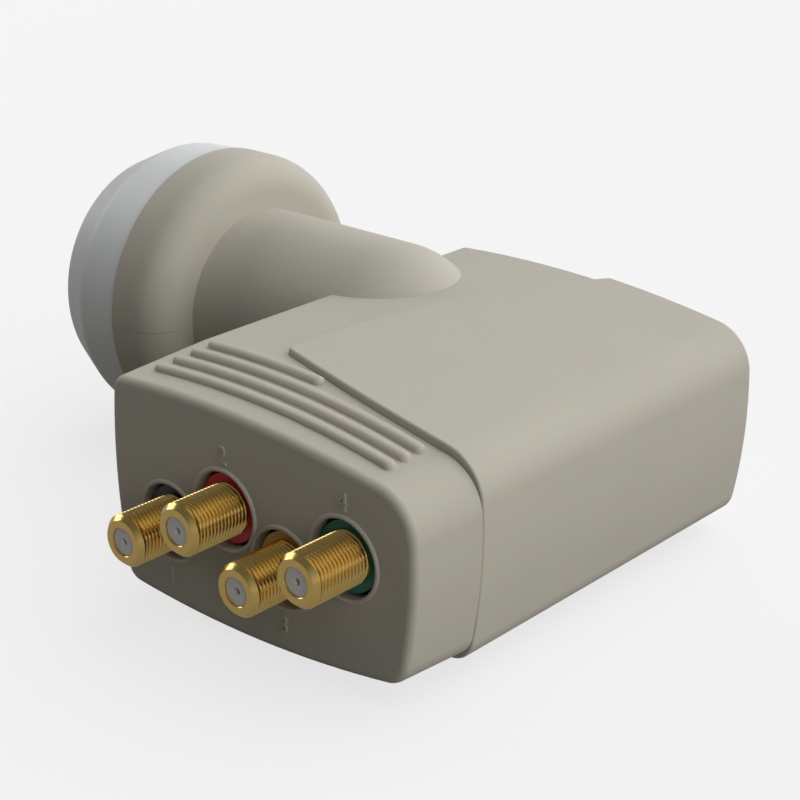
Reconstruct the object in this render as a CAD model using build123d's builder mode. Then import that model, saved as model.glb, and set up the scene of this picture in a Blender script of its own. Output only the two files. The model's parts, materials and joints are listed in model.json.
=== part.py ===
"""Four-output satellite LNB: moulded housing on a feed neck, rear cover, feed cap and RF inside.

Millimetres. X runs along the feed axis with the feed cap towards -X, the connectors point to -Y
and +Z is up. The origin is on the feed axis, half way along the neck that the dish clamp grips.
"""

import os

from build123d import *

# Feed neck and its ring
NECK_R = 20.0
NECK_LENGTH = 31.8
NECK_WALL = 2.4
DOME_START = 19.9
RING_R = 30.5
RING_LENGTH = 12.8
RING_ROUND = 6.6
RING_BACK_WALL = 3.0
SEAT_DEPTH = 4.0
SEAT_WALL = 1.9
SEAL_THICK = 1.2
FRONT_WALL = 2.5

# Body section, seen from the connector end
LEFT_TOP = (16.8, 13.1)
RIGHT_TOP = (87.5, 9.4)
RIGHT_BOTTOM = (85.6, -24.7)
LEFT_BOTTOM = (18.4, -27.0)
TOP_BULGE = 2.4
RIGHT_BULGE = 1.6
BOTTOM_BULGE = 2.5
LEFT_BULGE = 1.6
CORNER_LEFT_TOP = 3.0
CORNER_RIGHT_TOP = 9.0
CORNER_RIGHT_BOTTOM = 5.2
CORNER_LEFT_BOTTOM = 3.5
SMALLEST_CORNER = 0.6

# Body along the connectors
FACE_Y = -69.0
RIB_ZONE = 21.0
FACE_DROP = 1.1
FACE_NARROW = 1.3
BACK_Y = 26.1
FRONT_ROUND = 1.3
BACK_ROUND = 1.2
WALL = 1.8

# Arc ribs on the top, at the connector end
RIB_COUNT = 4
RIB_HEIGHT = 1.1
RIB_WIDTH = 2.2
RIB_FIRST_LEFT = 6.1
RIB_FIRST_RIGHT = 5.5
RIB_PITCH_LEFT = 4.25
RIB_PITCH_RIGHT = 3.6
RIB_LEFT_X = 23.0
RIB_RIGHT_X = 76.8
RIB_BOW = 0.6
RIB_ROUND = 0.8
LAST_RIB_SHARE = 0.49

# Rear cover
COVER_PROUD = 1.25
COVER_SUNK = 1.3
COVER_GAP = 0.1
COVER_EDGE_GAP = 0.15
COVER_CORNER = 1.5
COVER_LIP_ROUND = 0.4
COVER_FRONT_LEFT = (36.1, -45.0)
COVER_FRONT_MID = (58.5, -51.0)
COVER_FRONT_RIGHT = (83.1, -53.7)
COVER_LEFT_MID = (41.4, -4.8)
COVER_LEFT_END = (56.3, 27.4)
PASS_GAP = 0.6

# Output connectors
PORT_PITCH = 13.82
PORT_FIRST_X = 30.5
PORT_UPPER_Z = -5.55
PORT_LOWER_Z = -12.03
PORT_HOLE_R = 7.0
RIM_WIDTH = 0.85
RIM_HEIGHT = 0.45
RIM_ROUND = 0.35
THREAD_R = 4.76
THREAD_OUT = 10.67
TIP_CHAMFER = 0.9
TIP_R = 3.9
THREAD_RELIEF = 0.3
BORE_R = 2.55
FLANGE_R = 6.0
FLANGE_LENGTH = 2.0
WASHER_R = 6.3
WASHER_LENGTH = 1.5
WASHER_INSET = 1.1
DIELECTRIC_RECESS = 0.4
INSERT_WEB = 1.0
INSERT_HOLE_R = 0.65
CONTACT_R = 0.9
CONTACT_HOLE_R = 0.5
CONTACT_HOLE_DEPTH = 4.0
CONTACT_INSIDE = 6.0
FIT = 0.1
CLOSE_FIT = 0.03

# Feed cap, seal and horn
CAP_INSET = 0.2
CAP_DRAFT = 0.5
CAP_STEP_ROUND = 5.0
CAP_STRAIGHT = 10.75
CAP_TAPER = 9.75
CAP_NARROWING = 5.05
CAP_WALL = 1.8
CAP_DOME = 1.2
CAP_ROUND = 1.2
SKIRT_WALL = 1.4
SEAL_WIDTH = 2.2
HORN_MOUTH_WALL = 1.5
HORN_MOUTH_DEPTH = 5.0
HORN_FLANGE = 2.0
HORN_TUBE_R = 12.0
HORN_BORE_R = 9.8
HORN_RIDGE_R = 18.0
HORN_RIDGE_WALL = 1.4
HORN_RIDGE_HEIGHT = 3.4

# Die-cast chassis, board and probes
CHASSIS_LEFT = 21.8
CHASSIS_RIGHT = 80.8
CHASSIS_FRONT = -50.8
CHASSIS_BACK = 18.2
CHASSIS_TOP = 5.9
CHASSIS_BOTTOM = -17.1
CHASSIS_WALL = 2.4
LID_THICK = 1.2
PILLAR = 5.0
STUB_START = 5.0
BOARD_THICK = 1.6
BOARD_Z = -8.0
BOARD_GAP = 0.3
LEDGE = 1.4
RAIL_WIDTH = 2.0
RAIL_LENGTH = 40.0
RAIL_HEIGHT = 7.6
RAIL_SPACING = 40.0
PROBE_R = 0.65
PROBE_REACH = 5.0
PROBE_PITCH = 5.0
PROBE_OUT = 0.6
CAN_SIZE = 14.0
CAN_HEIGHT = 4.0
CAN_PITCH = 22.0
CHIP_SIZE = 5.0
CHIP_HEIGHT = 1.2
CHIP_PITCH = 12.0
SCREW_R = 1.25
SCREW_HEAD_R = 2.3
SCREW_HEAD = 1.4
SCREW_LENGTH = 6.0

SEAT_R = RING_R - SEAT_WALL
HORN_MOUTH_R = SEAT_R - SEAL_WIDTH
CAP_R = RING_R - CAP_INSET
CAP_FRONT_R = CAP_R - CAP_NARROWING
RING_BACK = -NECK_LENGTH / 2
RING_FRONT = RING_BACK - RING_LENGTH
FULL_Y = FACE_Y + RIB_ZONE
SEAM_Y = COVER_FRONT_RIGHT[1]
CAVITY_INSET = COVER_SUNK + COVER_GAP + WALL
HORN_SEAT = RING_BACK - RING_BACK_WALL
SEAL_SEAT = RING_FRONT + SEAT_DEPTH
LID_BOTTOM = CHASSIS_BOTTOM - LID_THICK
SCREW_BOTTOM = LID_BOTTOM - SCREW_HEAD
CHASSIS_MID_X = (CHASSIS_LEFT + CHASSIS_RIGHT) / 2
CHASSIS_MID_Y = (CHASSIS_FRONT + CHASSIS_BACK) / 2
POCKET_X = CHASSIS_RIGHT - CHASSIS_LEFT - 2 * CHASSIS_WALL
POCKET_Y = CHASSIS_BACK - CHASSIS_FRONT - 2 * CHASSIS_WALL
BOARD_BOTTOM = BOARD_Z - BOARD_THICK
RIM_ROOT = FRONT_WALL / 2
TIP_Y = FACE_Y - RIM_HEIGHT - THREAD_OUT
INSERT_Y = TIP_Y + DIELECTRIC_RECESS
CONTACT_Y = INSERT_Y + INSERT_WEB
WASHER_Y = FACE_Y + WASHER_INSET
FLANGE_Y = WASHER_Y + WASHER_LENGTH
SHELL_END_Y = CHASSIS_FRONT + CHASSIS_WALL
FAR = 60.0
PORTS = [
    ("black", PORT_LOWER_Z),
    ("red", PORT_UPPER_Z),
    ("yellow", PORT_LOWER_Z),
    ("green", PORT_UPPER_Z),
]


def save(builder, name):
    """Label a finished sub-part and write its STEP file."""
    builder.part.label = name
    export_step(builder.part, f"parts/{name}.step")


def facing_front(y):
    """The plane at depth y that looks out of the connector face."""
    return Plane.XZ.offset(-y)


def body_section(y, grow, top=0.0, right=0.0, bottom=0.0):
    """The bowed body section at depth y, grown all round, with sides moved out a further amount."""
    left_top = (LEFT_TOP[0] - grow, LEFT_TOP[1] + grow + top)
    right_top = (RIGHT_TOP[0] + grow + right, RIGHT_TOP[1] + grow + top)
    right_bottom = (RIGHT_BOTTOM[0] + grow + right, RIGHT_BOTTOM[1] - grow - bottom)
    left_bottom = (LEFT_BOTTOM[0] - grow, LEFT_BOTTOM[1] - grow - bottom)
    with BuildSketch(facing_front(y)) as section:
        with BuildLine():
            SagittaArc(left_top, right_top, TOP_BULGE)
            SagittaArc(right_top, right_bottom, RIGHT_BULGE)
            SagittaArc(right_bottom, left_bottom, BOTTOM_BULGE)
            SagittaArc(left_bottom, left_top, LEFT_BULGE)
        make_face()
        for corner, radius in (
            (left_top, CORNER_LEFT_TOP),
            (right_top, CORNER_RIGHT_TOP),
            (right_bottom, CORNER_RIGHT_BOTTOM),
            (left_bottom, CORNER_LEFT_BOTTOM),
        ):
            nearest = section.vertices().sort_by_distance(Vector(*corner))[0]
            fillet(nearest, max(radius + grow, SMALLEST_CORNER))
    return section.sketch


os.makedirs("parts", exist_ok=True)

# Plan outline of the cover, used for its own walls and for the recess that takes it
with BuildSketch() as cover_plan:
    with BuildLine():
        front = ThreePointArc(COVER_FRONT_LEFT, COVER_FRONT_MID, COVER_FRONT_RIGHT)
        Polyline(
            front @ 1,
            (COVER_FRONT_RIGHT[0] + FAR, COVER_FRONT_RIGHT[1]),
            (COVER_FRONT_RIGHT[0] + FAR, COVER_LEFT_END[1]),
            COVER_LEFT_END,
        )
        ThreePointArc(COVER_LEFT_END, COVER_LEFT_MID, COVER_FRONT_LEFT)
    make_face()
    fillet(cover_plan.vertices().sort_by_distance(Vector(*COVER_FRONT_LEFT))[0], COVER_CORNER)

# The recess in the housing under the cover
with BuildPart() as cover_recess:
    with BuildSketch(Plane.XY.offset(-FAR)):
        add(cover_plan.sketch)
    extrude(amount=2 * FAR)
    core = body_section(BACK_Y - COVER_SUNK - COVER_GAP, -COVER_SUNK - COVER_GAP)
    extrude(core, amount=2 * FAR, mode=Mode.SUBTRACT)

# Arc ribs, cut from a raised copy of the body's skin
with BuildPart() as ribs:
    raised_face = body_section(FACE_Y, RIB_HEIGHT, -FACE_DROP, -FACE_NARROW)
    loft([raised_face, body_section(FULL_Y, RIB_HEIGHT)], ruled=True)
    extrude(body_section(FULL_Y, RIB_HEIGHT), amount=-2 * RIB_WIDTH)
    with BuildSketch():
        for rib in range(RIB_COUNT):
            left = (RIB_LEFT_X, FACE_Y + RIB_FIRST_LEFT + rib * RIB_PITCH_LEFT)
            right = (RIB_RIGHT_X, FACE_Y + RIB_FIRST_RIGHT + rib * RIB_PITCH_RIGHT)
            with BuildLine(mode=Mode.PRIVATE) as middle:
                SagittaArc(left, right, RIB_BOW)
            share = LAST_RIB_SHARE if rib == RIB_COUNT - 1 else 1
            SlotArc(middle.edges()[0].trim(0, share), RIB_WIDTH)
    extrude(amount=FAR, mode=Mode.INTERSECT)
    crests = ribs.faces().filter_by(lambda face: face.normal_at().Z > 0.5)
    fillet(crests.edges(), RIB_ROUND)

# Main housing: connector end, ribbed top, domed neck and feed ring in one moulding
with BuildPart() as main_housing:
    face = body_section(FACE_Y, 0, -FACE_DROP, -FACE_NARROW)
    seam = body_section(SEAM_Y, 0, -FACE_DROP * (FULL_Y - SEAM_Y) / RIB_ZONE)
    loft([face, seam, body_section(FULL_Y, 0)], ruled=True)
    extrude(body_section(FULL_Y, 0), amount=FULL_Y - BACK_Y)
    fillet(main_housing.faces().sort_by(Axis.Y)[0].edges(), FRONT_ROUND)
    fillet(main_housing.faces().sort_by(Axis.Y)[-1].edges(), BACK_ROUND)
    add(ribs.part)
    with BuildSketch():
        with BuildLine():
            Polyline(
                (DOME_START, NECK_R),
                (RING_BACK, NECK_R),
                (RING_BACK, RING_R - RING_ROUND),
            )
            shoulder = RadiusArc(
                (RING_BACK, RING_R - RING_ROUND),
                (RING_BACK - RING_ROUND, RING_R),
                -RING_ROUND,
            )
            Polyline(shoulder @ 1, (RING_FRONT, RING_R), (RING_FRONT, 0), (DOME_START + NECK_R, 0))
            RadiusArc((DOME_START + NECK_R, 0), (DOME_START, NECK_R), -NECK_R)
        make_face()
    revolve(axis=Axis.X)
    for port, (_, port_z) in enumerate(PORTS):
        port_x = PORT_FIRST_X + port * PORT_PITCH
        with BuildSketch(Plane((port_x, 0, port_z))) as rim:
            with Locations((PORT_HOLE_R, FACE_Y + RIM_ROOT)):
                Rectangle(RIM_WIDTH, RIM_HEIGHT + RIM_ROOT, align=(Align.MIN, Align.MAX))
            fillet(rim.vertices().group_by(Axis.Y)[0], RIM_ROUND)
        revolve(axis=Axis((port_x, 0, port_z), (0, 1, 0)))
    cavity = body_section(BACK_Y - CAVITY_INSET, -CAVITY_INSET)
    cavity_length = BACK_Y - CAVITY_INSET - FACE_Y - FRONT_WALL
    extrude(cavity, amount=cavity_length, mode=Mode.SUBTRACT)
    with BuildSketch():
        with BuildLine():
            inner_r = NECK_R - NECK_WALL
            Polyline(
                (DOME_START, inner_r),
                (HORN_SEAT, inner_r),
                (HORN_SEAT, HORN_MOUTH_R + FIT),
                (SEAL_SEAT, HORN_MOUTH_R + FIT),
                (SEAL_SEAT, SEAT_R),
                (RING_FRONT, SEAT_R),
                (RING_FRONT, 0),
                (DOME_START + inner_r, 0),
            )
            RadiusArc((DOME_START + inner_r, 0), (DOME_START, inner_r), -inner_r)
        make_face()
    revolve(axis=Axis.X, mode=Mode.SUBTRACT)
    with BuildSketch(Plane.XY.offset(LID_BOTTOM)):
        with Locations((CHASSIS_MID_X, CHASSIS_MID_Y)):
            with GridLocations(0, RAIL_SPACING, 1, 2):
                Rectangle(RAIL_LENGTH, RAIL_WIDTH)
    extrude(amount=-RAIL_HEIGHT)
    for port, (_, port_z) in enumerate(PORTS):
        with BuildSketch(facing_front(FACE_Y + 2 * FRONT_WALL)):
            with Locations((PORT_FIRST_X + port * PORT_PITCH, port_z)):
                Circle(PORT_HOLE_R)
        extrude(amount=4 * FRONT_WALL, mode=Mode.SUBTRACT)
    add(cover_recess.part, mode=Mode.SUBTRACT)
    with BuildSketch(Plane.YZ.offset(CHASSIS_RIGHT)):
        with Locations((CHASSIS_MID_Y, (CHASSIS_TOP + SCREW_BOTTOM) / 2)):
            Rectangle(
                CHASSIS_BACK - CHASSIS_FRONT + 2 * PASS_GAP,
                CHASSIS_TOP - SCREW_BOTTOM + 2 * PASS_GAP,
            )
    extrude(amount=FAR, mode=Mode.SUBTRACT)
save(main_housing, "main_housing")

# Rear cover: one bowed shell round the right side and the back, proud above and below
with BuildPart() as rear_cover:
    outside = body_section(BACK_Y, 0, top=COVER_PROUD, bottom=COVER_PROUD)
    extrude(outside, amount=2 * FAR)
    fillet(rear_cover.faces().sort_by(Axis.Y)[-1].edges(), BACK_ROUND)
    extrude(body_section(BACK_Y - COVER_SUNK, -COVER_SUNK), amount=2 * FAR, mode=Mode.SUBTRACT)
    with BuildSketch(Plane.XY.offset(-FAR)):
        add(cover_plan.sketch)
        offset(amount=-COVER_EDGE_GAP, mode=Mode.REPLACE)
    extrude(amount=2 * FAR, mode=Mode.INTERSECT)
    lip_z = (LEFT_TOP[1] + RIGHT_TOP[1]) / 2 + TOP_BULGE + COVER_PROUD
    fillet(rear_cover.edges().sort_by_distance(Vector(*COVER_FRONT_MID, lip_z))[0], COVER_LIP_ROUND)
save(rear_cover, "rear_cover")

# Seal ring between the cap's skirt and its seat in the feed ring
with BuildPart() as cap_seal:
    with BuildSketch(Plane.YZ.offset(SEAL_SEAT)):
        Circle(SEAT_R - FIT)
        Circle(HORN_MOUTH_R + FIT, mode=Mode.SUBTRACT)
    extrude(amount=-SEAL_THICK)
save(cap_seal, "cap_seal")

# Feed cap: tapered, slightly domed, with a skirt that plugs into the feed ring
with BuildPart() as feed_cap:
    step_x = RING_FRONT - CAP_STRAIGHT
    rim_x = step_x - CAP_TAPER
    nose_x = rim_x - CAP_DOME
    skirt_r = SEAT_R - FIT
    with BuildSketch() as cap_profile:
        with BuildLine():
            Line((nose_x + CAP_WALL, 0), (nose_x, 0))
            TangentArc((nose_x, 0), (rim_x, CAP_FRONT_R), tangent=(0, 1))
            Polyline(
                (rim_x, CAP_FRONT_R),
                (step_x, CAP_R - CAP_DRAFT),
                (RING_FRONT, CAP_R),
                (RING_FRONT, skirt_r),
                (SEAL_SEAT - SEAL_THICK, skirt_r),
                (SEAL_SEAT - SEAL_THICK, skirt_r - SKIRT_WALL),
                (RING_FRONT - CAP_WALL, skirt_r - SKIRT_WALL),
                (step_x + CAP_WALL / 2, CAP_R - CAP_DRAFT - CAP_WALL),
                (rim_x + CAP_WALL, CAP_FRONT_R - CAP_WALL / 2),
            )
            TangentArc(
                (nose_x + CAP_WALL, 0),
                (rim_x + CAP_WALL, CAP_FRONT_R - CAP_WALL / 2),
                tangent=(0, 1),
            )
        make_face()
        rim = cap_profile.vertices().sort_by_distance(Vector(rim_x, CAP_FRONT_R))[0]
        fillet(rim, CAP_ROUND)
        step = cap_profile.vertices().sort_by_distance(Vector(step_x, CAP_R - CAP_DRAFT))[0]
        fillet(step, CAP_STEP_ROUND)
    revolve(axis=Axis.X)
save(feed_cap, "feed_cap")

# Feed horn: flanged mouth with a choke ridge, and the waveguide tube through the neck
with BuildPart() as feed_horn:
    flange_x = HORN_SEAT - HORN_FLANGE
    mouth_x = HORN_SEAT - HORN_MOUTH_DEPTH
    with BuildSketch():
        with BuildLine():
            Polyline(
                (STUB_START, HORN_BORE_R),
                (STUB_START, HORN_TUBE_R),
                (HORN_SEAT, HORN_TUBE_R),
                (HORN_SEAT, HORN_MOUTH_R),
                (mouth_x, HORN_MOUTH_R),
                (mouth_x, HORN_MOUTH_R - HORN_MOUTH_WALL),
                (flange_x, HORN_MOUTH_R - HORN_MOUTH_WALL),
                (flange_x, HORN_RIDGE_R + HORN_RIDGE_WALL),
                (flange_x - HORN_RIDGE_HEIGHT, HORN_RIDGE_R + HORN_RIDGE_WALL),
                (flange_x - HORN_RIDGE_HEIGHT, HORN_RIDGE_R),
                (flange_x, HORN_RIDGE_R),
                (flange_x, HORN_BORE_R),
                close=True,
            )
        make_face()
    revolve(axis=Axis.X)
save(feed_horn, "feed_horn")


def pocket_outline(inset, pillar):
    """Plan of the chassis pocket, with its four screw pillars left standing in the corners."""
    with BuildSketch(Plane.XY.offset(CHASSIS_BOTTOM)) as outline:
        with Locations((CHASSIS_MID_X, CHASSIS_MID_Y)):
            Rectangle(POCKET_X - 2 * inset, POCKET_Y - 2 * inset)
            with GridLocations(POCKET_X, POCKET_Y, 2, 2):
                Rectangle(2 * pillar, 2 * pillar, mode=Mode.SUBTRACT)
    return outline.sketch


SCREW_GRID = GridLocations(POCKET_X - PILLAR, POCKET_Y - PILLAR, 2, 2)

# Die-cast chassis: a tray open below, with the closed end of the waveguide on its left
with BuildPart() as chassis:
    with BuildSketch(Plane.XY.offset(CHASSIS_BOTTOM)):
        with Locations((CHASSIS_MID_X, CHASSIS_MID_Y)):
            Rectangle(CHASSIS_RIGHT - CHASSIS_LEFT, CHASSIS_BACK - CHASSIS_FRONT)
    extrude(amount=CHASSIS_TOP - CHASSIS_BOTTOM)
    with BuildSketch(Plane.YZ.offset(STUB_START)):
        Circle(HORN_TUBE_R)
    extrude(amount=CHASSIS_LEFT + CHASSIS_WALL - STUB_START)
    extrude(pocket_outline(0, PILLAR), amount=BOARD_Z - CHASSIS_BOTTOM, mode=Mode.SUBTRACT)
    pocket_depth = CHASSIS_TOP - CHASSIS_WALL - CHASSIS_BOTTOM
    extrude(pocket_outline(LEDGE, PILLAR), amount=pocket_depth, mode=Mode.SUBTRACT)
    with BuildSketch(Plane.YZ.offset(STUB_START)):
        Circle(HORN_BORE_R)
    extrude(amount=CHASSIS_LEFT - STUB_START, mode=Mode.SUBTRACT)
    for port, (_, port_z) in enumerate(PORTS):
        with BuildSketch(facing_front(CHASSIS_FRONT)):
            with Locations((PORT_FIRST_X + port * PORT_PITCH, port_z)):
                Circle(THREAD_R + CLOSE_FIT)
        extrude(amount=-CHASSIS_WALL - LEDGE, mode=Mode.SUBTRACT)
    with BuildSketch(Plane.XY.offset(CHASSIS_BOTTOM)):
        with Locations((CHASSIS_MID_X, CHASSIS_MID_Y)):
            with Locations(*SCREW_GRID.local_locations):
                Circle(SCREW_R + CLOSE_FIT)
    extrude(amount=SCREW_LENGTH, mode=Mode.SUBTRACT)
    with BuildSketch():
        with Locations((STUB_START + PROBE_PITCH, 0)):
            Circle(PROBE_R + CLOSE_FIT)
    extrude(amount=-HORN_TUBE_R - PROBE_OUT, mode=Mode.SUBTRACT)
    with BuildSketch(Plane.XZ):
        with Locations((STUB_START + 2 * PROBE_PITCH, 0)):
            Circle(PROBE_R + CLOSE_FIT)
    extrude(amount=HORN_TUBE_R + PROBE_OUT, mode=Mode.SUBTRACT)
save(chassis, "chassis")

# Shield lid under the chassis, and its screws
with BuildPart() as shield_lid:
    with BuildSketch(Plane.XY.offset(LID_BOTTOM)):
        with Locations((CHASSIS_MID_X, CHASSIS_MID_Y)):
            Rectangle(CHASSIS_RIGHT - CHASSIS_LEFT, CHASSIS_BACK - CHASSIS_FRONT)
            with Locations(*SCREW_GRID.local_locations):
                Circle(SCREW_R + FIT, mode=Mode.SUBTRACT)
    extrude(amount=LID_THICK)
save(shield_lid, "shield_lid")

with BuildPart() as lid_screws:
    with BuildSketch(Plane.XY.offset(SCREW_BOTTOM)):
        with Locations((CHASSIS_MID_X, CHASSIS_MID_Y)):
            with Locations(*SCREW_GRID.local_locations):
                Circle(SCREW_HEAD_R)
    extrude(amount=SCREW_HEAD)
    with BuildSketch(Plane.XY.offset(LID_BOTTOM)):
        with Locations((CHASSIS_MID_X, CHASSIS_MID_Y)):
            with Locations(*SCREW_GRID.local_locations):
                Circle(SCREW_R)
    extrude(amount=SCREW_LENGTH)
save(lid_screws, "lid_screws")

# Circuit board on the chassis ledge, with its shielding cans and chips underneath
with BuildPart() as circuit_board:
    with BuildSketch(Plane.XY.offset(BOARD_BOTTOM)):
        add(pocket_outline(BOARD_GAP, PILLAR + BOARD_GAP).moved(Location((0, 0, -CHASSIS_BOTTOM))))
    extrude(amount=BOARD_THICK)
save(circuit_board, "circuit_board")

with BuildPart() as shielding_cans:
    with BuildSketch(Plane.XY.offset(BOARD_BOTTOM)):
        with Locations((CHASSIS_MID_X, CHASSIS_BACK - CAN_SIZE)):
            with GridLocations(CAN_PITCH, 0, 2, 1):
                RectangleRounded(CAN_SIZE, CAN_SIZE, CHIP_HEIGHT)
    extrude(amount=-CAN_HEIGHT)
save(shielding_cans, "shielding_cans")

with BuildPart() as board_chips:
    with BuildSketch(Plane.XY.offset(BOARD_BOTTOM)):
        with Locations((CHASSIS_MID_X, CHASSIS_MID_Y)):
            with GridLocations(CHIP_PITCH, 0, 4, 1):
                Rectangle(CHIP_SIZE, CHIP_SIZE)
    extrude(amount=-CHIP_HEIGHT)
save(board_chips, "board_chips")

# Polarisation probes through the wall of the waveguide
with BuildPart() as vertical_probe:
    with BuildSketch(Plane.XY.offset(-HORN_TUBE_R - PROBE_OUT)):
        with Locations((STUB_START + PROBE_PITCH, 0)):
            Circle(PROBE_R)
    extrude(amount=HORN_TUBE_R + PROBE_OUT - HORN_BORE_R + PROBE_REACH)
save(vertical_probe, "vertical_probe")

with BuildPart() as horizontal_probe:
    with BuildSketch(facing_front(-HORN_TUBE_R - PROBE_OUT)):
        with Locations((STUB_START + 2 * PROBE_PITCH, 0)):
            Circle(PROBE_R)
    extrude(amount=-(HORN_TUBE_R + PROBE_OUT - HORN_BORE_R + PROBE_REACH))
save(horizontal_probe, "horizontal_probe")


def ring_piece(port_x, port_z, profile):
    """A turned piece on one output's axis, from (radius, depth) points."""
    axis_plane = Plane((port_x, 0, port_z))
    with BuildPart() as piece:
        with BuildSketch(axis_plane):
            with BuildLine():
                Polyline(*profile, close=True)
            make_face()
        revolve(axis=Axis((port_x, 0, port_z), (0, 1, 0)))
    return piece


# Four outputs, left to right: threaded shell, insulator, contact and colour-coded washer
for port, (colour, port_z) in enumerate(PORTS):
    port_x = PORT_FIRST_X + port * PORT_PITCH
    shell = ring_piece(
        port_x,
        port_z,
        [
            (BORE_R, TIP_Y),
            (TIP_R, TIP_Y),
            (THREAD_R, TIP_Y + TIP_CHAMFER),
            (THREAD_R, WASHER_Y),
            (THREAD_R - THREAD_RELIEF, WASHER_Y),
            (THREAD_R - THREAD_RELIEF, FLANGE_Y),
            (FLANGE_R, FLANGE_Y),
            (FLANGE_R, FLANGE_Y + FLANGE_LENGTH),
            (THREAD_R, FLANGE_Y + FLANGE_LENGTH),
            (THREAD_R, SHELL_END_Y),
            (BORE_R, SHELL_END_Y),
        ],
    )
    save(shell, f"connector_shell_{port + 1}")
    insulator = ring_piece(
        port_x,
        port_z,
        [
            (INSERT_HOLE_R, INSERT_Y),
            (BORE_R - CLOSE_FIT, INSERT_Y),
            (BORE_R - CLOSE_FIT, SHELL_END_Y),
            (CONTACT_R + CLOSE_FIT, SHELL_END_Y),
            (CONTACT_R + CLOSE_FIT, CONTACT_Y),
            (INSERT_HOLE_R, CONTACT_Y),
        ],
    )
    save(insulator, f"connector_insulator_{port + 1}")
    contact = ring_piece(
        port_x,
        port_z,
        [
            (0, CONTACT_Y + CONTACT_HOLE_DEPTH),
            (CONTACT_HOLE_R, CONTACT_Y + CONTACT_HOLE_DEPTH),
            (CONTACT_HOLE_R, CONTACT_Y),
            (CONTACT_R, CONTACT_Y),
            (CONTACT_R, SHELL_END_Y + CONTACT_INSIDE),
            (0, SHELL_END_Y + CONTACT_INSIDE),
        ],
    )
    save(contact, f"connector_contact_{port + 1}")
    washer = ring_piece(
        port_x,
        port_z,
        [
            (THREAD_R + CLOSE_FIT, WASHER_Y),
            (WASHER_R, WASHER_Y),
            (WASHER_R, FLANGE_Y),
            (THREAD_R + CLOSE_FIT, FLANGE_Y),
        ],
    )
    save(washer, f"{colour}_washer")
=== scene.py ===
"""Looks of a four-output satellite LNB: moulded plastics, threaded gold barrels, numbers and stage."""

import json
import math

import bmesh
import bpy
from mathutils import Matrix, Vector


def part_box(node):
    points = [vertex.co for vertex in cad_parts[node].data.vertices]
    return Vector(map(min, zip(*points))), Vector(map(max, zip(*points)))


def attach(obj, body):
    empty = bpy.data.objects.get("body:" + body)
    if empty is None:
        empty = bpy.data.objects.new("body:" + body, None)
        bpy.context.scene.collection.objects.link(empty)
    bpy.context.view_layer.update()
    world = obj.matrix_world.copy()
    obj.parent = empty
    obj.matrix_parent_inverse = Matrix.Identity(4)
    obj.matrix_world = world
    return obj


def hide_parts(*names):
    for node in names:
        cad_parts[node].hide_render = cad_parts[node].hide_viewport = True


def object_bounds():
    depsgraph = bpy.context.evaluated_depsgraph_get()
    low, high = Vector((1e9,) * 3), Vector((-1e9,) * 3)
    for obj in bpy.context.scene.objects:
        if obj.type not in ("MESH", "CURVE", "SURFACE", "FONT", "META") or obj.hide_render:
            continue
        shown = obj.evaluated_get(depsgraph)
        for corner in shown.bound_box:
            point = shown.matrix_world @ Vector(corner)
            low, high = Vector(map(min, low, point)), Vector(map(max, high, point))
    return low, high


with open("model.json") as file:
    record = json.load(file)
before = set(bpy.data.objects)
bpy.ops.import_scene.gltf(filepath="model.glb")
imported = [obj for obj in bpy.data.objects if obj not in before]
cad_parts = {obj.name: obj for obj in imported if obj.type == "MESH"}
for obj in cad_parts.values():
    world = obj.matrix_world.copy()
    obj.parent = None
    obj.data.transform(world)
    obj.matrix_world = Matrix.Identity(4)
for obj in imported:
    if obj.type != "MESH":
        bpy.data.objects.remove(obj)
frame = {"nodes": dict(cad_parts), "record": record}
CAD_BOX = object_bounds()

bl_info = {
    "name": "Satellite LNB looks",
    "version": (1, 0, 0),
    "blender": (4, 5, 0),
    "location": "View3D > Sidebar > LNB",
    "description": "Finishes, threads and port numbers for a four-output satellite LNB",
    "category": "Object",
}

MM = 0.001
BODY = "root"
PORTS = (1, 2, 3, 4)
RAISED_PORTS = (2, 4)
WASHER_COLOURS = {
    "black_washer": (0.010, 0.010, 0.011),
    "red_washer": (0.62, 0.010, 0.016),
    "yellow_washer": (0.68, 0.36, 0.012),
    "green_washer": (0.002, 0.16, 0.09),
}
WASHERS = tuple(WASHER_COLOURS)
MOUNTS = {mount["name"]: mount for mount in frame["record"]["mounts"]}
RIM_HEIGHT = 0.45 * MM
FACE_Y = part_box("main_housing")[0].y + RIM_HEIGHT
MERGE_DISTANCE = 0.0005 * MM

# The thread's form: slope of its flanks, and the flat at its root, in shares of a pitch
THREAD_FLANK = 2.6
THREAD_ROOT_FLAT = 0.15
BARREL_SMOOTH_DEGREES = 28
NUMBER_SMOOTH_DEGREES = 40
NUMBER_CURVE_STEPS = 6

# Grain of the surfaces, and the painted shade on the feed ring's parting line
FINE_DETAIL = 3.0
FINE_ROUGHNESS = 0.6
MOTTLE_SCALE = 60.0
MOTTLE_DETAIL = 4.0
GLOSS_SWING = 0.06
GRAIN_RELIEF = 0.05 * MM
# Painted shade on the parting line: the share by which the line is darkened, and the level of the
# housing's colour that it is darkened to
PARTING_PAINTED_SHADE_SHARE = 0.35
PARTING_PAINTED_SHADE_LEVEL = 0.35

# Stage
SENSOR_WIDTH = 36.0
FLOOR_REACH = 30.0
FLOOR_ROUGHNESS = 0.9
WHITE = (1, 1, 1, 1)


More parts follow.
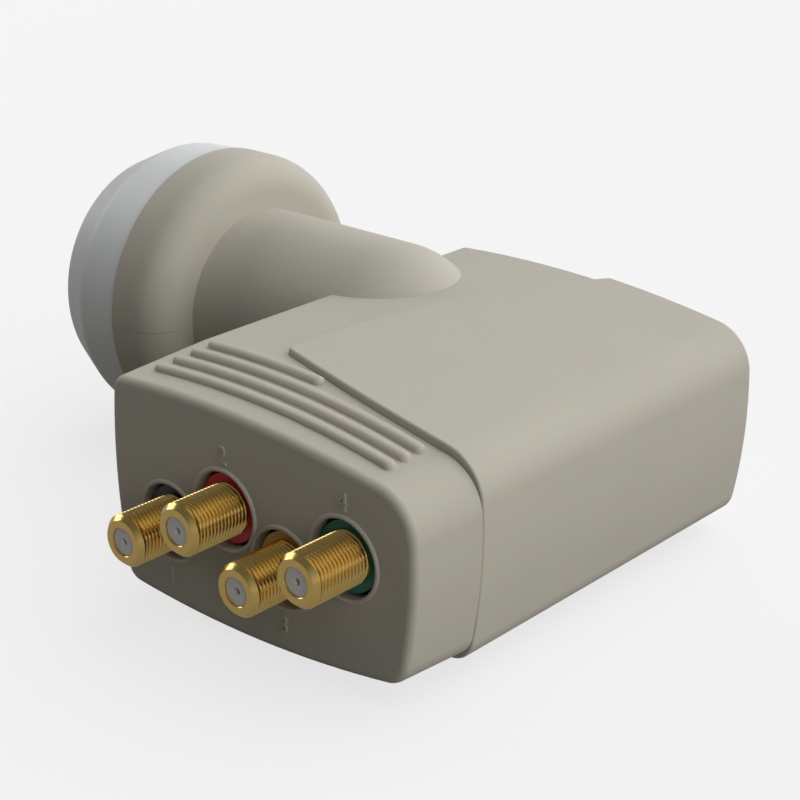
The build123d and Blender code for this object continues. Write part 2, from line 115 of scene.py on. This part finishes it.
class LNB_PG_finish(bpy.types.PropertyGroup):
    """Colours and grain of the plastics and metals."""

    housing_colour: bpy.props.FloatVectorProperty(
        name="Housing", description="Sand-coloured plastic of the body and its cover",
        subtype="COLOR", default=(0.472, 0.448, 0.383), min=0, max=1)
    cap_colour: bpy.props.FloatVectorProperty(
        name="Cap", description="Pale plastic of the feed cap",
        subtype="COLOR", default=(0.73, 0.755, 0.77), min=0, max=1)
    gold_colour: bpy.props.FloatVectorProperty(
        name="Gold", description="Plating of the connector barrels",
        subtype="COLOR", default=(0.71, 0.50, 0.17), min=0, max=1)
    insert_colour: bpy.props.FloatVectorProperty(
        name="Insert", description="Insulating inserts in the connector barrels",
        subtype="COLOR", default=(0.78, 0.77, 0.76), min=0, max=1)
    grain_size: bpy.props.FloatProperty(
        name="Grain size", description="Width of one grain of the moulded surface",
        unit="LENGTH", default=0.4 * MM, min=0.05 * MM, max=5 * MM)
    # Width of the line of painted shade along the seam at the feed ring's parting line
    parting_width: bpy.props.FloatProperty(
        name="Parting line", description="Width of the mould's parting line on the feed ring",
        unit="LENGTH", default=0.16 * MM, min=0, max=1 * MM)


class LNB_PG_barrel(bpy.types.PropertyGroup):
    """Sizes of the threaded barrels."""

    thread_pitch: bpy.props.FloatProperty(
        name="Thread pitch", description="Advance of the thread in one turn",
        unit="LENGTH", default=0.794 * MM, min=0.2 * MM, max=3 * MM)
    thread_depth: bpy.props.FloatProperty(
        name="Thread depth", description="Height of the thread's crest over its root",
        unit="LENGTH", default=0.48 * MM, min=0.05 * MM, max=1 * MM)
    tip_radius: bpy.props.FloatProperty(
        name="Tip radius", description="Radius of the barrel's end, before the chamfer",
        unit="LENGTH", default=4.05 * MM, min=3 * MM, max=4.7 * MM)
    tip_round: bpy.props.FloatProperty(
        name="Tip round", description="Round on the edges of the barrel's end",
        unit="LENGTH", default=0.12 * MM, min=0.02 * MM, max=0.5 * MM)
    lead_length: bpy.props.FloatProperty(
        name="Lead length", description="Plain length at the barrel's end, before the thread",
        unit="LENGTH", default=1.0 * MM, min=0, max=3 * MM)
    bore_radius: bpy.props.FloatProperty(
        name="Bore radius", description="Radius of the bore that holds the insert",
        unit="LENGTH", default=2.55 * MM, min=1 * MM, max=3.5 * MM)
    relief_depth: bpy.props.FloatProperty(
        name="Relief depth", description="Depth of the groove behind the thread, inside the washer",
        unit="LENGTH", default=0.3 * MM, min=0.05 * MM, max=1 * MM)
    flange_length: bpy.props.FloatProperty(
        name="Flange length", description="Thickness of the flange behind the washer",
        unit="LENGTH", default=2.0 * MM, min=0.5 * MM, max=5 * MM)
    steps_round: bpy.props.IntProperty(
        name="Steps round", description="Flats round a barrel", default=84, min=12, max=256)
    rings_per_pitch: bpy.props.IntProperty(
        name="Rings per pitch", description="Rings of points along one pitch", default=12, min=4, max=24)


class LNB_PG_number(bpy.types.PropertyGroup):
    """Sizes of the raised port numbers."""

    height: bpy.props.FloatProperty(
        name="Height", description="Height of a number", unit="LENGTH",
        default=3.3 * MM, min=1 * MM, max=8 * MM)
    relief: bpy.props.FloatProperty(
        name="Relief", description="How far a number stands out of the face", unit="LENGTH",
        default=0.35 * MM, min=0.05 * MM, max=1 * MM)
    root: bpy.props.FloatProperty(
        name="Root", description="How far a number reaches into the face", unit="LENGTH",
        default=0.05 * MM, min=0, max=1 * MM)
    from_axis: bpy.props.FloatProperty(
        name="Distance", description="Middle of a number from its port's axis", unit="LENGTH",
        default=10.3 * MM, min=8 * MM, max=14 * MM)


class LNB_PG_stage(bpy.types.PropertyGroup):
    """Camera, floor and light."""

    camera_place: bpy.props.FloatVectorProperty(
        name="Camera", description="Where the camera stands", subtype="TRANSLATION", unit="LENGTH",
        default=(266.9 * MM, -275.56 * MM, 137.31 * MM))
    camera_aim: bpy.props.FloatVectorProperty(
        name="Aim", description="Point in the middle of the picture", subtype="TRANSLATION",
        unit="LENGTH", default=(56.3 * MM, -37.6 * MM, 8.3 * MM))
    lens: bpy.props.FloatProperty(
        name="Lens", description="Focal length for a 36 mm sensor", default=88.6, min=10, max=400)
    floor_colour: bpy.props.FloatVectorProperty(
        name="Floor", description="Pale floor and backdrop", subtype="COLOR",
        default=(0.92, 0.92, 0.92), min=0, max=1)
    floor_glow: bpy.props.FloatProperty(
        name="Floor glow", description="Share of the floor's paleness that doesn't need light",
        subtype="FACTOR", default=0.8, min=0, max=1)
    floor_bounce: bpy.props.FloatProperty(
        name="Floor bounce", description="Share of its light that the floor throws back on the part",
        subtype="FACTOR", default=0.18, min=0, max=1)
    bank_direction: bpy.props.FloatVectorProperty(
        name="Bank direction", description="Where the broad bank of soft light stands, from the part",
        subtype="DIRECTION", default=(0.67, 0.74, 0.0))
    bank_strength: bpy.props.FloatProperty(
        name="Bank strength", description="Brightness of the bank of soft light",
        default=1.68, min=0, max=4)
    bank_in_metal: bpy.props.FloatProperty(
        name="Bank in metal", description="Brightness of the bank of light in reflections",
        default=1.0, min=0, max=4)
    bank_edge: bpy.props.FloatProperty(
        name="Bank edge", description="Softness of the bank's edge", default=0.4, min=0.01, max=1)
    fill_place: bpy.props.FloatVectorProperty(
        name="Fill place", description="Where the weak lamp on the left stands", subtype="TRANSLATION",
        unit="LENGTH", default=(-2.55, -0.15, 1.0))
    fill_size: bpy.props.FloatProperty(
        name="Fill size", description="Width of the weak lamp on the left", unit="LENGTH",
        default=1.5, min=0.01, max=5)
    fill_power: bpy.props.FloatProperty(
        name="Fill", description="Power of the weak lamp on the left", unit="POWER", default=20.0, min=0)
    sky: bpy.props.FloatProperty(
        name="Sky", description="Light from the side away from the bank", default=0.0, min=0, max=2)
    sky_in_metal: bpy.props.FloatProperty(
        name="Sky in metal", description="Brightness of the surroundings in reflections",
        default=0.16, min=0, max=2)
    floor_in_metal: bpy.props.FloatProperty(
        name="Floor in metal", description="Share of the floor's paleness that reflections show",
        subtype="FACTOR", default=0.3, min=0, max=1)
    shade_tint: bpy.props.FloatVectorProperty(
        name="Shade tint", description="Warm colour of the light that reaches the shaded sides",
        subtype="COLOR", default=(1.0, 0.93, 0.80), min=0, max=1)


# Materials


def new_material(name):
    """An empty node material with its output and Principled shader."""
    material = bpy.data.materials.new(name)
    material.use_nodes = True
    nodes = material.node_tree.nodes
    nodes.clear()
    output = nodes.new("ShaderNodeOutputMaterial")
    shader = nodes.new("ShaderNodeBsdfPrincipled")
    material.node_tree.links.new(shader.outputs["BSDF"], output.inputs["Surface"])
    return material, shader


def grain_group():
    """Node group: fine moulded or blasted grain as a height, and a slow mottle."""
    name = "Moulded grain"
    if name in bpy.data.node_groups:
        return bpy.data.node_groups[name]
    group = bpy.data.node_groups.new(name, "ShaderNodeTree")
    group.interface.new_socket("Grain scale", in_out="INPUT", socket_type="NodeSocketFloat")
    group.interface.new_socket("Height", in_out="OUTPUT", socket_type="NodeSocketFloat")
    group.interface.new_socket("Mottle", in_out="OUTPUT", socket_type="NodeSocketFloat")
    nodes, links = group.nodes, group.links
    given = nodes.new("NodeGroupInput")
    result = nodes.new("NodeGroupOutput")
    place = nodes.new("ShaderNodeTexCoord")
    fine = nodes.new("ShaderNodeTexNoise")
    fine.inputs["Detail"].default_value = FINE_DETAIL
    fine.inputs["Roughness"].default_value = FINE_ROUGHNESS
    slow = nodes.new("ShaderNodeTexNoise")
    slow.inputs["Scale"].default_value = MOTTLE_SCALE
    slow.inputs["Detail"].default_value = MOTTLE_DETAIL
    links.new(place.outputs["Object"], fine.inputs["Vector"])
    links.new(place.outputs["Object"], slow.inputs["Vector"])
    links.new(given.outputs["Grain scale"], fine.inputs["Scale"])
    links.new(fine.outputs["Fac"], result.inputs["Height"])
    links.new(slow.outputs["Fac"], result.inputs["Mottle"])
    return group


def parting_group(width, ring_end):
    """Node group: a mask of the mould's parting line, at mid height on the feed ring, where painted
    shade darkens the seam.
    """
    group = bpy.data.node_groups.new("Parting line", "ShaderNodeTree")
    group.interface.new_socket("Line", in_out="OUTPUT", socket_type="NodeSocketFloat")
    nodes, links = group.nodes, group.links
    result = nodes.new("NodeGroupOutput")
    place = nodes.new("ShaderNodeTexCoord")
    parts = nodes.new("ShaderNodeSeparateXYZ")
    height = nodes.new("ShaderNodeMath")
    height.operation = "ABSOLUTE"
    line = nodes.new("ShaderNodeMapRange")
    line.interpolation_type = "SMOOTHSTEP"
    line.inputs["From Min"].default_value = width / 2
    line.inputs["From Max"].default_value = width
    line.inputs["To Min"].default_value = 1.0
    line.inputs["To Max"].default_value = 0.0
    on_ring = nodes.new("ShaderNodeMath")
    on_ring.operation = "LESS_THAN"
    on_ring.inputs[1].default_value = ring_end
    both = nodes.new("ShaderNodeMath")
    both.operation = "MULTIPLY"
    links.new(place.outputs["Object"], parts.inputs["Vector"])
    links.new(parts.outputs["Z"], height.inputs[0])
    links.new(height.outputs["Value"], line.inputs["Value"])
    links.new(parts.outputs["X"], on_ring.inputs[0])
    links.new(line.outputs["Result"], both.inputs[0])
    links.new(on_ring.outputs["Value"], both.inputs[1])
    links.new(both.outputs["Value"], result.inputs["Line"])
    return group


def grained(name, colour, grain_size, spread=0.04, roughness=0.5, bump=0.2, metallic=0.0):
    """A surface with a fine grain, a faint mottle of its colour and a changing gloss."""
    material, shader = new_material(name)
    nodes, links = material.node_tree.nodes, material.node_tree.links
    grain = nodes.new("ShaderNodeGroup")
    grain.node_tree = grain_group()
    grain.inputs["Grain scale"].default_value = 1.0 / grain_size
    tint = nodes.new("ShaderNodeMix")
    tint.name = "Tint"
    tint.data_type = "RGBA"
    tint.inputs["A"].default_value = (*[c * (1 - spread) for c in colour], 1)
    tint.inputs["B"].default_value = (*[min(1, c * (1 + spread)) for c in colour], 1)
    gloss = nodes.new("ShaderNodeMapRange")
    gloss.inputs["To Min"].default_value = roughness - GLOSS_SWING
    gloss.inputs["To Max"].default_value = roughness + GLOSS_SWING
    relief = nodes.new("ShaderNodeBump")
    relief.inputs["Strength"].default_value = bump
    relief.inputs["Distance"].default_value = GRAIN_RELIEF
    links.new(grain.outputs["Mottle"], tint.inputs["Factor"])
    links.new(tint.outputs["Result"], shader.inputs["Base Color"])
    links.new(grain.outputs["Mottle"], gloss.inputs["Value"])
    links.new(gloss.outputs["Result"], shader.inputs["Roughness"])
    links.new(grain.outputs["Height"], relief.inputs["Height"])
    links.new(relief.outputs["Normal"], shader.inputs["Normal"])
    shader.inputs["Metallic"].default_value = metallic
    return material


def let_light_in(shader, share, spread, depth, gloss):
    """Let a share of the light pass into a plastic, and set how much its surface mirrors."""
    shader.inputs["Subsurface Weight"].default_value = share
    shader.inputs["Subsurface Radius"].default_value = spread
    shader.inputs["Subsurface Scale"].default_value = depth
    shader.inputs["Specular IOR Level"].default_value = gloss


def housing_plastic(finish):
    """Sand-coloured moulding: light passes a little way in, and the ring's parting line is darkened with
    painted shade.
    """
    material = grained("Housing plastic", finish.housing_colour, finish.grain_size, roughness=0.55)
    nodes, links = material.node_tree.nodes, material.node_tree.links
    shader = nodes["Principled BSDF"]
    let_light_in(shader, share=0.25, spread=(1.0, 0.65, 0.3), depth=0.9 * MM, gloss=0.15)
    ring_end = -0.5 * MOUNTS["feed_neck"]["dims"]["length_mm"] * MM
    # Painted shade: the seam at the parting line is drawn as a darker line of the housing's colour
    parting = nodes.new("ShaderNodeGroup")
    parting.node_tree = parting_group(finish.parting_width, ring_end)
    share = nodes.new("ShaderNodeMath")
    share.operation = "MULTIPLY"
    share.inputs[1].default_value = PARTING_PAINTED_SHADE_SHARE
    shade = nodes.new("ShaderNodeMix")
    shade.data_type = "RGBA"
    shade.inputs["B"].default_value = (*[PARTING_PAINTED_SHADE_LEVEL * c for c in finish.housing_colour], 1)
    links.new(parting.outputs["Line"], share.inputs[0])
    links.new(share.outputs["Value"], shade.inputs["Factor"])
    links.new(nodes["Tint"].outputs["Result"], shade.inputs["A"])
    links.new(shade.outputs["Result"], shader.inputs["Base Color"])
    return material


def cap_plastic(finish):
    """Pale translucent moulding: light spreads a good way through its wall."""
    material = grained("Cap plastic", finish.cap_colour, finish.grain_size, spread=0.02, roughness=0.42)
    shader = material.node_tree.nodes["Principled BSDF"]
    let_light_in(shader, share=0.6, spread=(1.0, 1.0, 1.0), depth=5 * MM, gloss=0.25)
    return material


def housing_of(finish):
    """The housing's plastic, made once."""
    return bpy.data.materials.get("Housing plastic") or housing_plastic(finish)


def dress(node, material):
    """Give a CAD node its finish."""
    piece = frame["nodes"][node]
    piece.data.materials.clear()
    piece.data.materials.append(material)


# Meshes


def close_mesh(shape, name):
    """A mesh from a bmesh, its doubles merged and its faces turned outwards."""
    bmesh.ops.remove_doubles(shape, verts=shape.verts, dist=MERGE_DISTANCE)
    bmesh.ops.recalc_face_normals(shape, faces=shape.faces)
    mesh = bpy.data.meshes.new(name)
    shape.to_mesh(mesh)
    shape.free()
    return mesh


def finish_piece(name, mesh, material, smooth_angle):
    """A new object at the origin with that mesh, riding on the body."""
    mesh.materials.append(material)
    mesh.polygons.foreach_set("use_smooth", [True] * len(mesh.polygons))
    mesh.set_sharp_from_angle(angle=math.radians(smooth_angle))
    piece = bpy.data.objects.new(name, mesh)
    bpy.context.collection.objects.link(piece)
    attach(piece, BODY)
    return piece


def barrel_outline(barrel, port):
    """Radius and depth of points round half of a barrel's section, from the bore's mouth to its back."""
    mount = MOUNTS[f"output_{port}"]
    crest = mount["dims"]["r_mm"] * MM
    thread_start = mount["pos_m"][1] - mount["dims"]["length_mm"] * MM / 2
    low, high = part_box(f"connector_shell_{port}")
    washer_low, washer_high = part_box(WASHERS[port - 1])
    flange = (high.x - low.x) / 2
    flange_end = washer_high.y + barrel.flange_length
    relief = crest - barrel.relief_depth
    edge = barrel.tip_round
    step = barrel.thread_pitch / barrel.rings_per_pitch
    rings = math.ceil((washer_low.y - thread_start) / step)
    chamfer_rings = math.ceil((thread_start - low.y - edge) / step)
    outline = [
        (barrel.bore_radius, low.y + edge),
        (barrel.bore_radius + edge, low.y),
        (barrel.tip_radius - edge, low.y),
    ]
    for ring in range(chamfer_rings):
        share = ring / chamfer_rings
        outline.append((
            barrel.tip_radius + share * (crest - barrel.tip_radius),
            low.y + edge + share * (thread_start - low.y - edge),
        ))
    for ring in range(rings):
        outline.append((crest, thread_start + ring * step))
    outline += [
        (crest, washer_low.y),
        (relief, washer_low.y),
        (relief, washer_high.y),
        (flange, washer_high.y),
        (flange, flange_end),
        (crest, flange_end),
        (crest, high.y),
        (barrel.bore_radius, high.y),
    ]
    return outline


def cut_thread(shape, barrel, centre, crest, thread_start, thread_end):
    """Move the outer wall's points in along a helix, down to the thread's root between its crests."""
    for vert in shape.verts:
        out = Vector((vert.co.x - centre.x, vert.co.z - centre.z))
        if vert.co.y < thread_start or vert.co.y > thread_end - MERGE_DISTANCE:
            continue
        if out.length < crest - barrel.thread_depth:
            continue
        turn = (vert.co.y / barrel.thread_pitch - math.atan2(out.y, out.x) / math.tau) % 1.0
        rise = min(1.0, max(0.0, THREAD_FLANK * abs(turn - 0.5) - THREAD_ROOT_FLAT))
        radius = min(out.length, crest - barrel.thread_depth * (1.0 - rise))
        out = out.normalized() * radius
        vert.co.x = centre.x + out.x
        vert.co.z = centre.z + out.y


class LNB_OT_plastics(bpy.types.Operator):
    """Finish the moulded housing, its cover and the feed cap"""

    bl_idname = "lnb.plastics"
    bl_label = "Moulded plastics"

    def execute(self, context):
        finish = context.scene.lnb_finish
        for node in ("main_housing", "rear_cover"):
            dress(node, housing_of(finish))
        dress("feed_cap", cap_plastic(finish))
        return {"FINISHED"}


class LNB_OT_barrels(bpy.types.Operator):
    """Build the four gold barrels with their helical threads"""

    bl_idname = "lnb.barrels"
    bl_label = "Threaded barrels"

    def execute(self, context):
        finish = context.scene.lnb_finish
        barrel = context.scene.lnb_barrel
        gold = grained(
            "Gold plate", finish.gold_colour, finish.grain_size,
            spread=0.05, roughness=0.22, bump=0.05, metallic=1.0)
        for port in PORTS:
            self.add_barrel(barrel, port, gold)
        return {"FINISHED"}

    def add_barrel(self, barrel, port, gold):
        """One barrel, turned from its outline and threaded, in place of the plain shell."""
        node = f"connector_shell_{port}"
        mount = MOUNTS[f"output_{port}"]
        centre = Vector(mount["pos_m"])
        crest = mount["dims"]["r_mm"] * MM
        thread_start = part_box(node)[0].y + barrel.lead_length
        thread_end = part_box(WASHERS[port - 1])[0].y
        shape = bmesh.new()
        points = [
            shape.verts.new((centre.x + radius, depth, centre.z))
            for radius, depth in barrel_outline(barrel, port)
        ]
        edges = [shape.edges.new(pair) for pair in zip(points, points[1:] + points[:1])]
        bmesh.ops.spin(
            shape, geom=points + edges, cent=(centre.x, 0, centre.z), axis=(0, 1, 0), dvec=(0, 0, 0),
            angle=math.tau, steps=barrel.steps_round, use_merge=True, use_duplicate=False)
        cut_thread(shape, barrel, centre, crest, thread_start, thread_end)
        mesh = close_mesh(shape, node)
        piece = finish_piece(f"threaded_barrel_{port}", mesh, gold, BARREL_SMOOTH_DEGREES)
        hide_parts(node)


class LNB_OT_inserts(bpy.types.Operator):
    """Finish the inserts and centre contacts in the barrels; the contacts' near-black colour is painted
    shade
    """

    bl_idname = "lnb.inserts"
    bl_label = "Inserts and contacts"

    def execute(self, context):
        finish = context.scene.lnb_finish
        insert = grained("Insert plastic", finish.insert_colour, finish.grain_size, roughness=0.4)
        # Painted shade: the centre contacts get a near-black colour so that the holes in the inserts
        # look dark, as the shade in the bore would make them
        contact = grained(
            "Contact metal darkened as painted shade", (0.09, 0.07, 0.04), finish.grain_size, roughness=0.5, metallic=1.0)
        for port in PORTS:
            dress(f"connector_insulator_{port}", insert)
            dress(f"connector_contact_{port}", contact)
        return {"FINISHED"}


class LNB_OT_washers(bpy.types.Operator):
    """Finish the colour-coded washers in the four holes"""

    bl_idname = "lnb.washers"
    bl_label = "Coloured washers"

    def execute(self, context):
        grain = context.scene.lnb_finish.grain_size
        for node, colour in WASHER_COLOURS.items():
            dress(node, grained(node.replace("_", " ").capitalize(), colour, grain, roughness=0.42))
        return {"FINISHED"}


class LNB_OT_insides(bpy.types.Operator):
    """Finish the horn, chassis, board and the other pieces inside"""

    bl_idname = "lnb.insides"
    bl_label = "Pieces inside"

    def execute(self, context):
        grain = context.scene.lnb_finish.grain_size
        cast = grained(
            "Cast aluminium", (0.62, 0.62, 0.63), 2 * grain,
            spread=0.08, roughness=0.5, bump=0.4, metallic=1.0)
        sheet = grained("Rolled sheet", (0.68, 0.68, 0.69), grain, roughness=0.3, bump=0.1, metallic=1.0)
        zinc = grained("Zinc plate", (0.60, 0.60, 0.56), grain, roughness=0.34, bump=0.1, metallic=1.0)
        tin = grained("Tinned sheet", (0.72, 0.72, 0.70), grain, roughness=0.24, bump=0.05, metallic=1.0)
        brass = grained("Probe brass", (0.75, 0.55, 0.22), grain, roughness=0.3, bump=0.05, metallic=1.0)
        mask = grained("Solder mask", (0.02, 0.14, 0.05), grain, spread=0.12, roughness=0.3, bump=0.1)
        chip = grained("Chip moulding", (0.015, 0.015, 0.016), grain, roughness=0.6)
        rubber = grained("Seal rubber", (0.02, 0.02, 0.02), grain, roughness=0.75)
        for node, material in (
            ("feed_horn", cast),
            ("chassis", cast),
            ("shield_lid", sheet),
            ("lid_screws", zinc),
            ("circuit_board", mask),
            ("shielding_cans", tin),
            ("board_chips", chip),
            ("vertical_probe", brass),
            ("horizontal_probe", brass),
            ("cap_seal", rubber),
        ):
            dress(node, material)
        return {"FINISHED"}


class LNB_OT_numbers(bpy.types.Operator):
    """Raise a plain number on the face beside each port"""

    bl_idname = "lnb.numbers"
    bl_label = "Port numbers"

    def execute(self, context):
        finish = context.scene.lnb_finish
        number = context.scene.lnb_number
        for port in PORTS:
            shape = self.number_shape(str(port), number)
            place = Vector(MOUNTS[f"output_{port}"]["pos_m"])
            place.y = FACE_Y + (number.root - number.relief) / 2
            place.z += number.from_axis if port in RAISED_PORTS else -number.from_axis
            bmesh.ops.translate(shape, verts=shape.verts, vec=place)
            name = f"port_number_{port}"
            mesh = close_mesh(shape, name)
            finish_piece(name, mesh, housing_of(finish), NUMBER_SMOOTH_DEGREES)
        return {"FINISHED"}

    def number_shape(self, words, number):
        """The number as a bmesh about the origin, facing the connector end."""
        curve = bpy.data.curves.new("Number", "FONT")
        curve.body = words
        curve.size = number.height
        curve.extrude = (number.relief + number.root) / 2
        curve.resolution_u = NUMBER_CURVE_STEPS
        holder = bpy.data.objects.new("Number", curve)
        mesh = bpy.data.meshes.new_from_object(holder)
        shape = bmesh.new()
        shape.from_mesh(mesh)
        bpy.data.meshes.remove(mesh)
        bpy.data.objects.remove(holder)
        bpy.data.curves.remove(curve)
        low = Vector([min(vert.co[axis] for vert in shape.verts) for axis in range(3)])
        high = Vector([max(vert.co[axis] for vert in shape.verts) for axis in range(3)])
        grow = number.height / (high.y - low.y)
        upright = Matrix.Rotation(math.radians(90), 3, "X")
        bmesh.ops.translate(shape, verts=shape.verts, vec=-(low + high) / 2)
        bmesh.ops.scale(shape, verts=shape.verts, vec=(grow, grow, 1))
        bmesh.ops.rotate(shape, verts=shape.verts, cent=(0, 0, 0), matrix=upright)
        return shape


class LNB_OT_stage(bpy.types.Operator):
    """Set the camera, the pale floor and the studio light"""

    bl_idname = "lnb.stage"
    bl_label = "Stage"

    def execute(self, context):
        scene = context.scene
        stage = scene.lnb_stage
        scene.view_settings.view_transform = "Standard"
        self.add_camera(scene, stage)
        self.add_floor(stage)
        self.add_lamp(stage)
        self.add_world(scene, stage)
        return {"FINISHED"}

    def add_camera(self, scene, stage):
        """The camera at the photograph's place."""
        lens = bpy.data.cameras.new("Camera")
        lens.sensor_width = SENSOR_WIDTH
        lens.lens = stage.lens
        camera = bpy.data.objects.new("Camera", lens)
        camera.location = stage.camera_place
        aim = Vector(stage.camera_aim) - Vector(stage.camera_place)
        camera.rotation_euler = aim.to_track_quat("-Z", "Y").to_euler()
        scene.collection.objects.link(camera)
        scene.camera = camera

    def add_floor(self, stage):
        """A pale floor: almost white to the camera, quieter in reflections and as a source of light."""
        bounce = [stage.floor_bounce * c for c in stage.shade_tint]
        low, _ = CAD_BOX
        mesh = bpy.data.meshes.new("Floor")
        shape = bmesh.new()
        bmesh.ops.create_grid(shape, x_segments=1, y_segments=1, size=FLOOR_REACH)
        bmesh.ops.translate(shape, verts=shape.verts, vec=(0, 0, low.z))
        shape.to_mesh(mesh)
        shape.free()
        material, shader = new_material("Floor")
        nodes, links = material.node_tree.nodes, material.node_tree.links
        shader.inputs["Base Color"].default_value = (*bounce, 1)
        shader.inputs["Roughness"].default_value = FLOOR_ROUGHNESS
        seen = nodes.new("ShaderNodeBsdfDiffuse")
        seen.inputs["Color"].default_value = (*stage.floor_colour, 1)
        glow = nodes.new("ShaderNodeEmission")
        glow.inputs["Color"].default_value = (*stage.floor_colour, 1)
        pale = nodes.new("ShaderNodeMixShader")
        pale.inputs["Fac"].default_value = stage.floor_glow
        path = nodes.new("ShaderNodeLightPath")
        mirrored = nodes.new("ShaderNodeMath")
        mirrored.operation = "MULTIPLY"
        mirrored.inputs[1].default_value = stage.floor_in_metal
        direct = nodes.new("ShaderNodeMath")
        direct.operation = "MAXIMUM"
        choice = nodes.new("ShaderNodeMixShader")
        links.new(seen.outputs["BSDF"], pale.inputs[1])
        links.new(glow.outputs["Emission"], pale.inputs[2])
        links.new(path.outputs["Is Camera Ray"], direct.inputs[0])
        links.new(path.outputs["Is Glossy Ray"], mirrored.inputs[0])
        links.new(mirrored.outputs["Value"], direct.inputs[1])
        links.new(direct.outputs["Value"], choice.inputs["Fac"])
        links.new(shader.outputs["BSDF"], choice.inputs[1])
        links.new(pale.outputs["Shader"], choice.inputs[2])
        links.new(choice.outputs["Shader"], nodes["Material Output"].inputs["Surface"])
        mesh.materials.append(material)
        floor = bpy.data.objects.new("Floor", mesh)
        bpy.context.collection.objects.link(floor)

    def add_lamp(self, stage):
        """A weak square lamp on the left that faces the part."""
        lamp = bpy.data.lights.new("Fill lamp", "AREA")
        lamp.energy = stage.fill_power
        lamp.size = stage.fill_size
        holder = bpy.data.objects.new("Fill lamp", lamp)
        holder.location = stage.fill_place
        holder.rotation_euler = (-Vector(stage.fill_place)).to_track_quat("-Z", "Y").to_euler()
        bpy.context.collection.objects.link(holder)

    def add_world(self, scene, stage):
        """A broad bank of soft light behind the part and to its right, pale where the camera sees it."""
        world = bpy.data.worlds.new("Studio")
        world.use_nodes = True
        nodes, links = world.node_tree.nodes, world.node_tree.links
        place = nodes.new("ShaderNodeTexCoord")
        towards = nodes.new("ShaderNodeVectorMath")
        towards.operation = "DOT_PRODUCT"
        towards.inputs[1].default_value = Vector(stage.bank_direction).normalized()
        path = nodes.new("ShaderNodeLightPath")
        quiet = nodes.new("ShaderNodeMapRange")
        quiet.inputs["To Min"].default_value = stage.sky
        quiet.inputs["To Max"].default_value = stage.sky_in_metal
        loud = nodes.new("ShaderNodeMapRange")
        loud.inputs["To Min"].default_value = stage.bank_strength
        loud.inputs["To Max"].default_value = stage.bank_in_metal
        bank = nodes.new("ShaderNodeMapRange")
        bank.interpolation_type = "SMOOTHSTEP"
        bank.inputs["From Min"].default_value = -stage.bank_edge
        bank.inputs["From Max"].default_value = stage.bank_edge
        seen = nodes.new("ShaderNodeMix")
        seen.inputs["B"].default_value = max(stage.floor_colour)
        background = nodes["Background"]
        background.inputs["Color"].default_value = WHITE
        links.new(place.outputs["Generated"], towards.inputs[0])
        links.new(towards.outputs["Value"], bank.inputs["Value"])
        links.new(path.outputs["Is Glossy Ray"], quiet.inputs["Value"])
        links.new(path.outputs["Is Glossy Ray"], loud.inputs["Value"])
        links.new(quiet.outputs["Result"], bank.inputs["To Min"])
        links.new(loud.outputs["Result"], bank.inputs["To Max"])
        links.new(path.outputs["Is Camera Ray"], seen.inputs["Factor"])
        links.new(bank.outputs["Result"], seen.inputs["A"])
        links.new(seen.outputs["Result"], background.inputs["Strength"])
        scene.world = world


class LNB_PT_panel(bpy.types.Panel):
    """The sidebar panel with the part's operators"""

    bl_idname = "LNB_PT_panel"
    bl_label = "Satellite LNB"
    bl_space_type = "VIEW_3D"
    bl_region_type = "UI"
    bl_category = "LNB"

    def draw(self, context):
        for operator in OPERATORS:
            self.layout.operator(operator.bl_idname)


GROUPS = {
    "lnb_finish": LNB_PG_finish,
    "lnb_barrel": LNB_PG_barrel,
    "lnb_number": LNB_PG_number,
    "lnb_stage": LNB_PG_stage,
}
OPERATORS = (
    LNB_OT_plastics,
    LNB_OT_barrels,
    LNB_OT_inserts,
    LNB_OT_washers,
    LNB_OT_insides,
    LNB_OT_numbers,
    LNB_OT_stage,
)
CLASSES = (*GROUPS.values(), *OPERATORS, LNB_PT_panel)


def register():
    for item in CLASSES:
        bpy.utils.register_class(item)
    for name, group in GROUPS.items():
        setattr(bpy.types.Scene, name, bpy.props.PointerProperty(type=group))


def unregister():
    for name in GROUPS:
        delattr(bpy.types.Scene, name)
    for item in reversed(CLASSES):
        bpy.utils.unregister_class(item)


def main():
    register()
    bpy.ops.lnb.plastics()
    bpy.ops.lnb.barrels()
    bpy.ops.lnb.inserts()
    bpy.ops.lnb.washers()
    bpy.ops.lnb.insides()
    bpy.ops.lnb.numbers()
    bpy.ops.lnb.stage()


if __name__ == "__main__":
    main()
